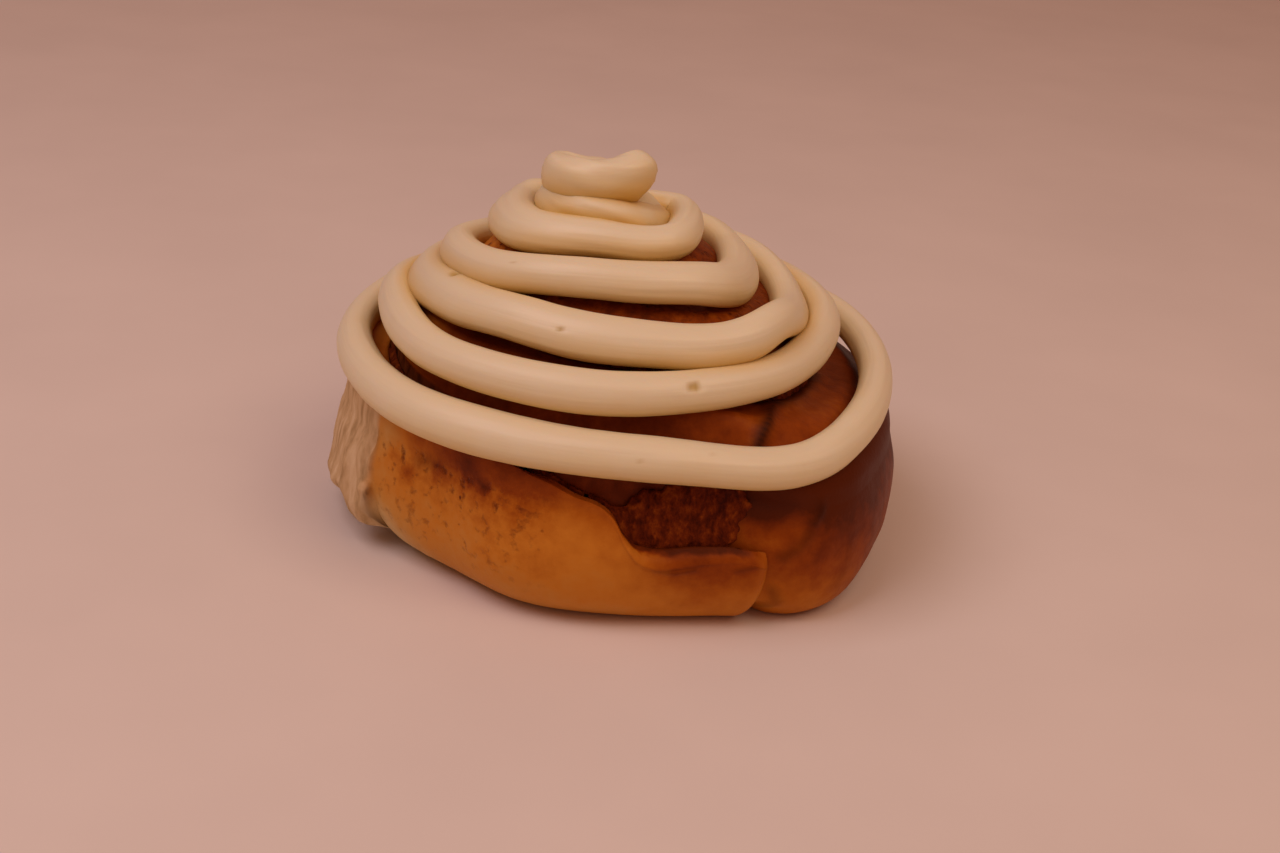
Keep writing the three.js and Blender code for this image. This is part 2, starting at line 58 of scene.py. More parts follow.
# The rolled strip. Its seam, grooves and height follow the angle that it has been rolled from its tail.
TAIL_BEARING = 32.0
ROLLED_ANGLE = 1290.0
SEAM_SHARE = [
    (0, 1), (345, 1), (353, 0.995), (360, 0.966), (370, 0.936), (392, 0.91), (426, 0.885), (482, 0.79),
    (572, 0.725), (662, 0.69), (700, 0.675), (752, 0.6), (842, 0.51), (932, 0.46), (1022, 0.41),
    (1112, 0.3), (1202, 0.2), (1290, 0.1), (1312, 0.035), (1660, 0.035),
]
SEAM_GAP = 1.8
WALL_LEAN = 0.21
WALL_RISES = [0, 0.3, 0.65, 1]
LIP_ROUNDING = 2.6
CROWN_RISE = 0.4
GROOVE_DEPTH = [
    (360, 3), (482, 4.5), (572, 5), (640, 5), (696, 5), (714, 5), (760, 4.5), (900, 4), (1290, 2),
]
TAIL_HEIGHT = [
    (0, 13.6), (8, 15), (14, 15), (23, 14.4), (26, 14.8), (28, 15.8), (30.5, 18.5), (33, 22), (36.5, 24),
    (41, 25), (47, 27), (56, 28.8), (66, 31), (90, 38),
]
TAIL_LENGTH = 90.0
LEDGE_RISE = 1.6
LEDGE_LENGTH = 31.0
OVERLAP = (350.0, 364.0)
TAIL_END_ROUNDING = 4.0
NO_CEILING = 1000.0
FOOT_INSET = 10.0
LOBE_FOOT_GAIN = 2.6
LOBE_BEARING = 54.0
LOBE_SPREAD = 24.0
FOOT_HEIGHT = 13.0
FOOT_POWER = 2.1
FOOT_LEVELS = [0, 4, FOOT_HEIGHT]
SKIN_LEVELS = [0, 1.2, 4, 8, 13, 18.5, 23]
SHOULDER_HEIGHT = 23.0
SHOULDER_INSET = 1.6
TORN_FROM = 243.0
TORN_TO = 297.0
TORN_FOOT_INSET = 4
TORN_INSET = [(0, -4.2), (5, -3.7), (9, -2.4), (14, -1.4), (18, -0.5), (21, 0.7), (23, 1.4)]
FOOT_LIFT = [
    (262, 0), (270, 4.2), (279, 5), (284, 7), (288.6, 7.8), (290.8, 4.4), (294, 4.2), (296.4, 4.4),
    (298.5, 1.6), (302, 0.6), (308, 0),
]

# The filling: a thin layer, with a slanted start that shows at the front.
FILLING_THICKNESS = 1.0
FILLING_START = 362.0
FILLING_FLOOR = 0.3
FILLING_SLANT = 4.5
FILLING_SAG = 0.9
FILLING_LEVELS = 24
FILLING_SHOWN = [
    (360, 12.2), (367, 12.8), (373, 12.4), (378, 11.6), (384, 10.6), (388, 8), (391, 3.4), (394, 1),
    (1290, 0.8),
]

# Icing rope: reach and height of its centre line on each side, one value for each turn.
ICING_BACK = ([42.2, 43.5, 34.4, 28, 18.2, 3.1, -0.1], [36.7, 34.2, 42.7, 49.4, 54.6, 60.6, 65.6])
ICING_LEFT = ([-51.3, -43.8, -38, -32.6, -23.4, -15.6, -14.7], [34.6, 42.5, 46.2, 51.6, 58.6, 63.7, 66.9])
ICING_FRONT = ([-43.6, -38.9, -31.4, -24, -16.6, -11.8, -9.8], [32.7, 41.5, 47.9, 55.8, 60.5, 63.3, 67.8])
ICING_RIGHT = ([44.4, 33.9, 26.7, 17.3, 6.5, 0.6, -0.2], [33.9, 42.7, 45.6, 51.5, 60.5, 60, 71.6])
CORNER_BACK_LEFT = [1.06, 0.95, 0.99, 0.77, 0.89, 0.79, 0.75]
CORNER_FRONT_LEFT = [1.01, 1.03, 0.98, 1, 1.05, 0.9, 1]
CORNER_FRONT_RIGHT = [1.09, 1.03, 1.16, 1.16, 1.3, 1.02, 1]
CORNER_BACK_RIGHT = [1.11, 1.02, 1.07, 1.08, 1.05, 0.76]
ROPE_WIDTH = [
    (0, 7.5), (0.25, 7), (0.42, 8.2), (0.6, 7.3), (0.8, 6), (1, 7.6), (1.5, 7.1), (2.15, 7.4), (2.4, 8.9),
    (2.7, 6.5), (3, 6.1), (3.5, 7), (3.75, 9), (4, 7.2), (4.25, 9.2), (4.45, 7.6), (4.6, 6.4), (4.8, 6.6),
    (5, 7.2), (6, 7.3),
]
ROPE_THICKNESS = [
    (0, 6.1), (5, 6.1), (5.5, 6.8), (6.1, 8.2), (6.3, 9.8), (6.48, 9.8), (6.65, 7.8), (6.75, 7.2),
]
# Where the line rises or sinks as it was piped: turn, rise in mm.
ROPE_WAVERS = [(0.6, -2.9), (2.35, 1), (2.42, 1.4), (2.65, 3.1), (3.6, 1.2), (4.18, 1.2), (4.57, -0.5)]
WAVER_SPREAD = 0.05
KNOTS_IN_TURN = 8
STEPS_FROM_KNOT = 60
ROPE_TILT_LOW = 50.0
ROPE_TILT_HIGH = 20.0
ROPE_TILT_RISE = (52, 72)
ROPE_STEP = 0.95
ROPE_SIDES = 64

# Fineness of the dough: columns up the skin, over the top and down the inner side.
SKIN_COLUMNS = 52
TOP_COLUMNS = 20
TOP_PLACES = np.linspace(0.03, 1, TOP_COLUMNS) ** 1.4
ROW_SPACING = [
    (0, 0.3), (4, 0.3), (8, 0.42), (92, 0.42), (94, 0.36), (151, 0.36), (160, 1.4), (285, 1.4),
    (292, 0.55), (345, 0.4), (372, 0.4), (400, 0.5), (470, 0.75), (490, 2.6), (630, 2.6), (645, 0.8),
    (720, 0.8), (740, 1.4), (840, 1.4), (860, 3), (990, 3), (1005, 1.6), (1080, 1.6), (1100, 3),
    (1290, 3),
]

# Marks in the outer crust, by bearing in degrees and height in mm: creases with their depth and
# width, bulges with their rise and size.
CREASES = [
    ([(35, 14.5), (37.5, 16.2), (39.6, 18.6)], 0.45, 1.0),
    ([(40.5, 20.5), (42, 22.6), (43, 25.5)], 0.6, 0.9),
    ([(48, 7), (50, 12), (50, 17)], 0.15, 2.0),
    ([(-50, 22), (-38, 25.5), (-24, 26.5)], 0.3, 1.4),
    ([(30, 24.4), (33, 23.2), (37, 23.8)], 0.3, 1.0),
    ([(34.5, 8), (36, 5), (35, 2.5)], 0.35, 0.9),
    ([(8, 13.2), (12, 12.6), (16, 13.3)], 0.3, 0.6),
    ([(25, 13), (29, 13.8), (32, 13)], 0.25, 0.6),
]
BULGES = [
    (35.7, 19.9, 0.9, 4.5), (47, 13, 0.7, 7), (8, 8, 0.6, 9), (-40, 12, 0.5, 9), (78.8, 12.5, 1.3, 0.8),
]
SKIN_RADIUS = 48.0
# A crease across the upper side, in plan.
TOP_CREASE = [(33, -4), (32.4, -8), (29.8, -15.2), (27.1, -22.3), (24, -28), (23.1, -33.4), (21, -38)]
TOP_CREASE_DEPTH = 1.3
TOP_CREASE_WIDTH = 1.1
# The notch in the foot at the tail's end.
NOTCH_BEARING = 33.6
NOTCH_HEIGHT = 2.6
NOTCH_WIDTH = 2.0
# The torn side's edge: its bearing, the lip along it and the crevice below the lip.
TORN_EDGE = -63.8
TORN_LIP = 0.6
TORN_CREVICE = 1.3
# Hollows in the torn side: bearing, height, depth, width and length.
HOLLOWS = [
    (-70.8, 14.5, 1.1, 1.3, 4.5), (-63.9, 13, 1.4, 0.7, 1.2), (-76, 9, 0.6, 1.2, 4), (-67, 20, 0.5, 1.2, 3),
]
# Uneven surfaces, as layers of lumps: rise and size in mm, and seed.
BROAD_LUMPS = [(0.4, 15, 1.3), (0.18, 6.5, 5.2)]
WALL_STREAKS = [(0.4, 2.6, 9.4), (0.2, 1.2, 4.4)]
TORN_FIBRES = [(0.5, 4.2, 3.1), (0.18, 1.9, 7.7)]
TORN_CRUMBS = [(0.12, 1.4, 2.2)]
SOAK_LUMPS = [(0.3, 2.2, 6.1), (0.15, 0.9, 2.4)]
FILLING_LUMPS = [(0.35, 2.4, 4.4), (0.3, 1.1, 8.8)]

# How dark the crust is baked, from 0 (pale) to 1, by bearing and by height, and in spots.
BAKE_ROUND = [
    (-180, 0.7), (-110, 0.6), (-75, 0.3), (-63, 0.1), (-54, 0.24), (-42, 0.34), (-20, 0.4), (0, 0.43),
    (12, 0.5), (24, 0.55), (32, 0.59), (40, 0.68), (52, 0.75), (64, 0.8), (110, 0.84), (180, 0.7),
]
BAKE_UP = [(0, -0.14), (4, -0.06), (9, 0), (15, 0.06), (20, 0.15), (25, 0.34), (30, 0.5)]
BAKE_SPOTS = [
    (-53, 19.3, 2.4, 0.3), (-57.9, 21.4, 1.6, 0.2), (-35, 24.2, 3, 0.22), (-30, 22.6, 1.4, 0.25),
    (-60, 26, 5, -0.3), (-61, 16, 6, 0.12), (-62, 6, 6, -0.16),
    (-44, 22, 2, 0.2), (37, 20.5, 2.6, -0.08),
    (12, 14.5, 5, 0.16), (20, 12.5, 5, 0.2), (28, 13, 3, 0.12), (41, 15, 2.6, 0.1), (-12, 20, 6, -0.05),
    (46, 5, 6, -0.1), (36, 13, 3, 0.1), (45, 22, 5, 0.12), (60, 20, 7, 0.1), (32, 22, 3, 0.2),
    (35, 25, 4, 0.14),
]
BAKE_WALL = 0.95
BAKE_SOAKED = 1.02
BAKE_TAIL_EDGE = -0.08
# The filling has soaked into the tail's upper side between these bearings.
SOAK_FROM = (-3.0, 2.0)
SOAK_TO = (25.0, 30.0)
SOAK_ACROSS = (0.3, 0.8)
# How dark the upper side is baked, by bearing.
BAKE_TOP = [
    (-180, 0.8), (-100, 0.5), (-75, 0.55), (-55, 0.8), (-20, 0.86), (10, 0.88), (26, 0.78), (60, 0.76),
    (85, 0.82), (180, 0.8),
]

# Fine shape of the icing: ridges left by the nozzle, folds, and their twist, by turn.
RIDGE_DEPTH = [(0, 0.06), (4, 0.08), (5, 0.14), (5.5, 0.2), (7, 0.22)]
FOLD_DEPTH = [(0, 0.06), (3.8, 0.1), (4.1, 0.3), (4.5, 0.16), (5, 0.3), (5.5, 0.45), (7, 0.4)]
ROPE_TWIST = [(0, 0), (4, 40), (5, 110), (5.7, 260), (6.8, 520)]
# Burst bubbles: turn, angle round the rope, radius and depth in mm.
PITS = [
    (1.56, 88, 0.95, 0.45), (0.555, 104, 0.4, 0.3), (2.47, 80, 0.35, 0.3), (2.34, 140, 0.9, 0.4),
    (0.52, 70, 0.3, 0.2), (3.42, 95, 0.35, 0.2), (1.68, 60, 0.35, 0.2), (3.1, 90, 0.6, 0.3),
    (2.02, 95, 0.7, 0.35), (4.2, 80, 0.5, 0.3), (1.18, 100, 0.6, 0.3),
]
# Knobs where the piping paused: turn, growth of the radius, spread in turns.
KNOBS = [
    (4.18, 0.16, 0.02), (4.26, 0.06, 0.03), (0.02, 0.1, 0.02), (1.48, 0.09, 0.07), (2.41, -0.07, 0.05),
    (3.74, 0.1, 0.04), (5.32, 0.1, 0.06),
]
# How far a turn settles on the one below where they nearly touch, and how far apart their lines are there.
SETTLING = 0.7
TOUCHING = 6.6
FAR_APART = 9.0

# Colours, as stops from 0 to 1.
CRUST_COLOURS = [
    (0.0, (0.66, 0.46, 0.2)), (0.2, (0.62, 0.31, 0.07)), (0.42, (0.62, 0.235, 0.026)),
    (0.6, (0.45, 0.13, 0.01)), (0.75, (0.29, 0.06, 0.005)), (0.88, (0.18, 0.032, 0.004)),
    (1.0, (0.1, 0.018, 0.003)),
]
STAIN_COLOURS = [(0.35, (0.06, 0.014, 0.004)), (0.55, (0.16, 0.04, 0.01)), (0.75, (0.36, 0.12, 0.035))]
CRUMB_COLOURS = [(0.3, (0.4, 0.27, 0.13)), (0.5, (0.62, 0.45, 0.25)), (0.75, (0.78, 0.62, 0.4))]
FILLING_COLOURS = [
    (0.36, (0.05, 0.006, 0.001)), (0.46, (0.1, 0.013, 0.0015)), (0.54, (0.16, 0.024, 0.002)),
    (0.64, (0.26, 0.055, 0.004)),
]
# Cream of the icing, with painted shade: darker and yellower towards the rope's lower side.
ICING_COLOURS_WITH_UNDERSIDE_SHADE = [
    (0.05, (0.81, 0.76, 0.57)), (0.28, (0.79, 0.7, 0.45)), (0.55, (0.76, 0.6, 0.28)),
    (0.9, (0.7, 0.46, 0.12)),
]
FLOOR_COLOURS = [(0.3, (0.76, 0.72, 0.72)), (0.7, (0.8, 0.76, 0.76))]
# Colour of the dark specks: partly cinnamon specks, partly painted shade in the pores and dents.
SPECK_AND_PORE_SHADE_COLOUR = (0.13, 0.022, 0.005)
# Colour of painted shade in the crust's creases and in the torn side's crevice.
CREASE_SHADE_COLOUR = (0.035, 0.007, 0.002)
# Colour of painted warm shade where turns of icing touch.
ICING_CREASE_SHADE_COLOUR = (0.72, 0.48, 0.11)
# Colour of painted shade in the burst bubbles of the icing.
PIT_SHADE_COLOUR = (0.5, 0.34, 0.06)

# Setting: floor, lights as name, place, power and colour, and the camera.
FLOOR_SIZE = 3.0
LIGHTS = [
    ("left", (-0.35, -0.25, 0.75), 2.3, (1.0, 0.81, 0.8)),
    ("right", (0.35, -0.3, 0.7), 1.6, (1.0, 0.7, 0.47)),
]
LIGHT_SIZE = 0.5
LIGHT_AIM = (0, 0, 0.03)
ROOM_COLOUR = (1.0, 0.45, 0.28, 1)
ROOM_STRENGTH = 0.31
CAMERA_LENS = 51.44
CAMERA_SENSOR = 36
CAMERA_PLACE = (0.005418, -0.313667, 0.159835)
CAMERA_RIGHT = (0.99718513, 0.03083097, 0.06834662)
CAMERA_UP = (-0.07497873, 0.41003873, 0.90898098)


def curve_through(knots, positions):
    """Values at positions on a smooth line through (position, value) knots, level beyond both ends."""
    xs, ys = np.array(knots, float).T
    slopes = np.diff(ys) / np.diff(xs)
    product = slopes[:-1] * slopes[1:]
    turning = product <= 0
    total = np.where(turning, 1.0, slopes[:-1] + slopes[1:])
    inner = np.where(turning, 0.0, 2 * product / total)
    tangents = np.concatenate(([slopes[0]], inner, [slopes[-1]]))
    x = np.clip(positions, xs[0], xs[-1])
    i = np.clip(np.searchsorted(xs, x) - 1, 0, len(slopes) - 1)
    run = xs[i + 1] - xs[i]
    t = (x - xs[i]) / run
    start = ys[i] * (1 + 2 * t) * (1 - t) ** 2 + tangents[i] * run * t * (1 - t) ** 2
    end = ys[i + 1] * t * t * (3 - 2 * t) - tangents[i + 1] * run * t * t * (1 - t)
    return start + end


def mix(a, b, share):
    return a + (b - a) * share


def ease(values, low, high):
    """0 below low, 1 above high, and smooth between."""
    t = np.clip((values - low) / (high - low), 0, 1)
    return t * t * (3 - 2 * t)


def outline_reach(bearing):
    """Reach of the outline at a bearing, by a smooth closed curve through its sixteen values."""
    values = np.array(OUTLINE_REACH, float)
    count = len(values)
    place = np.mod(bearing, FULL_TURN) / FULL_TURN * count
    index = np.floor(place).astype(int) % count
    t = place - np.floor(place)
    a, b, c, d = (values[(index + shift) % count] for shift in (-1, 0, 1, 2))
    return b + 0.5 * t * (c - a + t * (2 * a - 5 * b + 4 * c - d + t * (3 * (b - c) + d - a)))


def bun_point(share, bearing, height, inset=0.0):
    """Point of the bun at a share of the reach: the plan shrinks towards the apex and at the foot."""
    angle = np.radians(bearing)
    reach = share * (outline_reach(bearing) - inset)
    x = APEX[0] * (1 - share) + reach * np.sin(angle)
    y = APEX[1] * (1 - share) - reach * np.cos(angle)
    return np.stack(np.broadcast_arrays(x, y, height), axis=-1)


def dome_height(share, bearing):
    angle = np.radians(bearing)
    across, along = np.sin(angle), np.cos(angle)
    front_back = np.where(along > 0, curve_through(DOME_FRONT, share), curve_through(DOME_BACK, share))
    left_right = np.where(across > 0, curve_through(DOME_RIGHT, share), curve_through(DOME_LEFT, share))
    drop = DOME_DROP * np.power(share, DOME_POWER)
    return DOME_TOP - drop + front_back * along ** 2 + left_right * across ** 2


def tornness(bearing):
    """How torn the side is at a bearing, from 0 (crust) to 1."""
    turned = np.mod(bearing, FULL_TURN)
    return ease(turned, TORN_FROM - 4, TORN_FROM + 4) * (1 - ease(turned, TORN_TO - 1.5, TORN_TO + 0.5))


def foot_rounding(height):
    below = np.maximum(0, 1 - height / FOOT_HEIGHT)
    return 1 - np.sqrt(1 - below ** FOOT_POWER)


def buried_foot_inset(height):
    levels = np.array(FOOT_LEVELS, float)
    return FOOT_INSET * np.interp(height, levels, foot_rounding(levels))


def tail_ceiling(rolled):
    """The strip stays under this height near its outer end."""
    return np.where(rolled < TAIL_LENGTH, curve_through(TAIL_HEIGHT, rolled), NO_CEILING)


def seam_height(rolled):
    share = curve_through(SEAM_SHARE, rolled)
    height = dome_height(share, TAIL_BEARING - rolled) - curve_through(GROOVE_DEPTH, rolled)
    return np.minimum(height, tail_ceiling(rolled - FULL_TURN))


def lumps(points, size, seed=0.0):
    """Smooth noise between about -1 and 1 at points, with lumps of that size."""
    places = (points.reshape(-1, 3) / size + seed).tolist()
    return np.array([noise.noise(place) for place in places]).reshape(points.shape[:-1])


def layered_lumps(points, layers):
    return sum(rise * lumps(points, size, seed) for rise, size, seed in layers)


def skin_distance(arc, height, angle, up):
    """Distance in mm over the crust from a bearing and height."""
    return np.hypot(arc - np.radians(angle) * SKIN_RADIUS, height - up)


def front_bearing(bearing):
    """The same bearing between -180 and 180, from the front."""
    return np.mod(bearing + FULL_TURN / 2, FULL_TURN) - FULL_TURN / 2


def distance_to_path(across, up, path):
    """Distance from places in a plane to a path of straight pieces."""
    nearest = np.full(np.broadcast(across, up).shape, np.inf)
    for (x0, y0), (x1, y1) in zip(path, path[1:]):
        run, rise = x1 - x0, y1 - y0
        t = np.clip(((across - x0) * run + (up - y0) * rise) / (run * run + rise * rise), 0, 1)
        nearest = np.minimum(nearest, np.hypot(across - x0 - t * run, up - y0 - t * rise))
    return nearest


def closed_tube(points):
    """A grid bent through rows of points in mm. The first and last columns lie on each other."""
    rows, columns = points.shape[:2]
    bm = bmesh.new()
    bm.loops.layers.uv.new("UVMap")
    bmesh.ops.create_grid(bm, x_segments=rows - 1, y_segments=columns, size=0.5, calc_uvs=True)
    for vertex in bm.verts:
        row = round((vertex.co.x + 0.5) * (rows - 1))
        column = round((vertex.co.y + 0.5) * columns)
        vertex.index = row * (columns + 1) + column
    bm.verts.sort()
    places = np.concatenate([points, points[:, :1]], axis=1).reshape(-1, 3) + CENTRING
    for vertex, place in zip(bm.verts, (places * MM).tolist()):
        vertex.co = place
    return bm


def finish_piece(name, bm, material):
    bmesh.ops.recalc_face_normals(bm, faces=bm.faces)
    for face in bm.faces:
        face.smooth = True
    mesh = bpy.data.meshes.new(name)
    bm.to_mesh(mesh)
    bm.free()
    piece = bpy.data.objects.new(name, mesh)
    bpy.context.scene.collection.objects.link(piece)
    mesh.materials.append(material)
    return piece


def tube_piece(name, points, material, masks):
    """A closed tube with its seam joined and its ends filled. Masks are values for each point."""
    bm = closed_tube(points)
    columns = points.shape[1]
    layers = {key: bm.verts.layers.float.new(key) for key in masks}
    bm.verts.ensure_lookup_table()
    for key, values in masks.items():
        spread = np.concatenate([values, values[:, :1]], axis=1).reshape(-1).tolist()
        layer = layers[key]
        for vertex, value in zip(bm.verts, spread):
            vertex[layer] = value
    seam = [v for v in bm.verts if v.index % (columns + 1) in (0, columns)]
    bmesh.ops.remove_doubles(bm, verts=seam, dist=1e-7)
    ends = [edge for edge in bm.edges if edge.is_boundary]
    bmesh.ops.holes_fill(bm, edges=ends, sides=0)
    caps = [face for face in bm.faces if len(face.verts) > 4]
    bmesh.ops.triangulate(bm, faces=caps)
    return finish_piece(name, bm, material)


def surface_normals(points):
    """Normals of a grid of points that is closed round its columns."""
    along = np.gradient(points, axis=0)
    around = (np.roll(points, -1, axis=1) - np.roll(points, 1, axis=1)) / 2
    normals = np.cross(along, around)
    return normals / np.maximum(np.linalg.norm(normals, axis=-1, keepdims=True), 1e-9)


def rolling_angles(start, end):
    angles = [start]
    while angles[-1] < end - 0.3:
        angles.append(angles[-1] + float(np.interp(angles[-1], *np.array(ROW_SPACING).T)))
    angles[-1] = end
    return np.array(angles)


def strip_sections(rolled):
    """Sections of the strip at angles of rolling: share of the reach, height and foot inset."""
    rolled = rolled[:, None]
    bearing = TAIL_BEARING - rolled
    reach = outline_reach(bearing)
    buried = ease(rolled, *OVERLAP)
    outer = curve_through(SEAM_SHARE, rolled) - buried * SEAM_GAP / 2 / reach
    gap = SEAM_GAP / 2 * mix(-0.6, 1, ease(rolled, 0.5, 4))
    inner = curve_through(SEAM_SHARE, rolled + FULL_TURN) + gap / reach
    ceiling = tail_ceiling(rolled)
    ledge = LEDGE_RISE * (1 - ease(rolled, LEDGE_LENGTH - 6, LEDGE_LENGTH))
    foot = np.where(rolled >= OVERLAP[0], seam_height(rolled), 0)
    width = (outer - inner) * reach
    rounding = np.minimum(LIP_ROUNDING, width * 0.45)

    def top_height(across):
        share = mix(outer, inner, across)
        groove = curve_through(GROOVE_DEPTH, rolled + FULL_TURN) * ease(across, 0.4, 1) ** 1.2
        height = dome_height(share, bearing) + CROWN_RISE - groove
        lip = np.maximum(0, 1 - across * width / rounding)
        return np.minimum(height, ceiling + ledge * across) - rounding * (1 - np.sqrt(1 - lip * lip))

    edge = top_height(np.zeros((1, 1)))
    wall_top = mix(np.minimum(SHOULDER_HEIGHT, ceiling - rounding), edge, buried)
    levels = np.linspace(0, len(SKIN_LEVELS) - 1, SKIN_COLUMNS)[None, :]
    skin = np.interp(levels, range(len(SKIN_LEVELS)), SKIN_LEVELS) / SHOULDER_HEIGHT * wall_top
    wall_levels = [level + 0 * foot for level in FOOT_LEVELS]
    wall_levels += [mix(foot, wall_top, rise) for rise in WALL_RISES]
    wall_levels = np.concatenate(wall_levels, axis=1)
    below = np.minimum(levels.astype(int), len(SKIN_LEVELS) - 2)[0]
    wall = mix(wall_levels[:, below], wall_levels[:, below + 1], levels - below)
    height = mix(skin, wall, buried)
    torn = tornness(bearing)
    above = np.maximum(0, (height - FOOT_HEIGHT) / (SHOULDER_HEIGHT - FOOT_HEIGHT))
    inset = mix(SHOULDER_INSET * above ** 2, curve_through(TORN_INSET, height), torn)
    lean = np.where(foot > 0, WALL_LEAN * np.maximum(0, height - foot), 0)
    share = outer - mix(inset, lean, buried) / reach
    from_lobe = (np.mod(bearing, FULL_TURN) - LOBE_BEARING) / LOBE_SPREAD
    skin_inset = FOOT_INSET - LOBE_FOOT_GAIN * np.exp(-from_lobe ** 2)
    skin_foot = mix(skin_inset, TORN_FOOT_INSET, torn) * foot_rounding(height)
    foot_inset = mix(skin_foot, buried_foot_inset(height), buried)

    across = TOP_PLACES[None, :]
    wall_inset = outer - share[:, -1:]
    top_share = mix(outer, inner, across) - wall_inset * (1 - across) ** 2
    top = top_height(across)

    low = np.array(FOOT_LEVELS[::-1], float)[None, :] + 0 * outer
    shares = np.concatenate([share, top_share, inner + 0 * low], axis=1)
    heights = np.concatenate([height, top, low], axis=1)
    insets = np.concatenate([foot_inset, 0 * top, buried_foot_inset(low)], axis=1)
    return shares, heights, insets, inner


def foot_lift(bearing):
    """How far the foot stands off the floor: under the torn side, and in the notch at the tail."""
    turned = np.mod(bearing, FULL_TURN)
    notch = np.exp(-((turned - NOTCH_BEARING) / NOTCH_WIDTH) ** 2)
    return curve_through(FOOT_LIFT, turned) + NOTCH_HEIGHT * notch


def dough_points(rolled):
    shares, heights, insets, inner = strip_sections(rolled)
    bearing = TAIL_BEARING - rolled[:, None]
    skin = slice(0, SKIN_COLUMNS)
    low = np.maximum(0, 1 - heights[:, skin] / FOOT_HEIGHT)
    heights[:, skin] += (1 - ease(rolled[:, None], *OVERLAP)) * foot_lift(bearing) * low
    from_end = rolled[:, None] * 0.85 / TAIL_END_ROUNDING
    fullness = np.sqrt(1 - np.clip(1 - from_end, 0, 0.95) ** 2)
    shares = mix(inner, shares, fullness)
    return bun_point(shares, bearing, heights, insets)


def skin_marks(arc, angle, height):
    """Rises of the crust in mm from creases, bulges and the torn side's edge, and a mask of painted shade
    in the creases and the crevice.
    """
    rise = np.zeros(np.broadcast(arc, height).shape)
    mask = np.zeros(rise.shape)
    for path, depth, width in CREASES:
        line = [(np.radians(a) * SKIN_RADIUS, up) for a, up in path]
        line_mask = np.exp(-(distance_to_path(arc, height, line) / width) ** 2)
        rise -= depth * line_mask
        # The creases' depth also sets how much painted shade they get.
        mask = np.maximum(mask, line_mask * depth)
    for a, up, swell, size in BULGES:
        rise += swell * np.exp(-(skin_distance(arc, height, a, up) / size) ** 2)
    from_edge = np.radians(angle - TORN_EDGE) * SKIN_RADIUS + 0.25 * np.sin(height * 0.8)
    rise += TORN_LIP * ease(height, 12, 15) * np.exp(-((from_edge + 0.3) / 0.7) ** 2)
    crevice = ease(height, 4, 6) * (1 - ease(height, 12.5, 14.5)) + 0.4 * ease(height, 15, 17)
    crack = crevice * np.exp(-((from_edge - 0.3) / 0.34) ** 2)
    rise -= TORN_CREVICE * crack
    # The crevice is painted dark as shade too.
    mask = np.maximum(mask, 0.8 * crack)
    for a, up, depth, width, length in HOLLOWS:
        across = (arc - np.radians(a) * SKIN_RADIUS) / width
        rise -= depth * np.exp(-across ** 2 - ((height - up) / length) ** 2)
    return rise, mask


def speckled(angle, height):
    """How thick the dark specks lie: on the left of the front, more of them higher up."""
    across = ease(angle, -66, -58) * (1 - ease(angle, -26, -8))
    return across * ease(height, 3, 12) * mix(0.55, 1, ease(height, 14, 22))


def baked(rolled, arc, angle, height, inner_wall, is_top):
    """How dark the crust is at each point."""
    bake = curve_through(BAKE_ROUND, angle) + curve_through(BAKE_UP, height)
    for a, up, size, change in BAKE_SPOTS:
        bake = bake + change * np.exp(-(skin_distance(arc, height, a, up) / size) ** 2)
    tail_edge = np.exp(-(rolled / 2.2) ** 2) * ease(height, 3, 6)
    bake = bake + BAKE_TAIL_EDGE * tail_edge
    bake = mix(bake, BAKE_WALL, inner_wall * ease(rolled, 362, 376))
    on_top = is_top * ease(rolled, 20, 100) * ease(height, 29, 33)
    return mix(bake, curve_through(BAKE_TOP, angle), on_top)


def soaked(points, angle):
    """How far the filling has soaked into the tail's upper side, with an uneven edge."""
    across = np.zeros(points.shape[1])
    across[SKIN_COLUMNS:SKIN_COLUMNS + TOP_COLUMNS] = TOP_PLACES
    uneven = across[None, :] + layered_lumps(points, SOAK_LUMPS)
    along = ease(angle, *SOAK_FROM) * (1 - ease(angle, *SOAK_TO))
    return ease(uneven, *SOAK_ACROSS) * along * (across > 0)


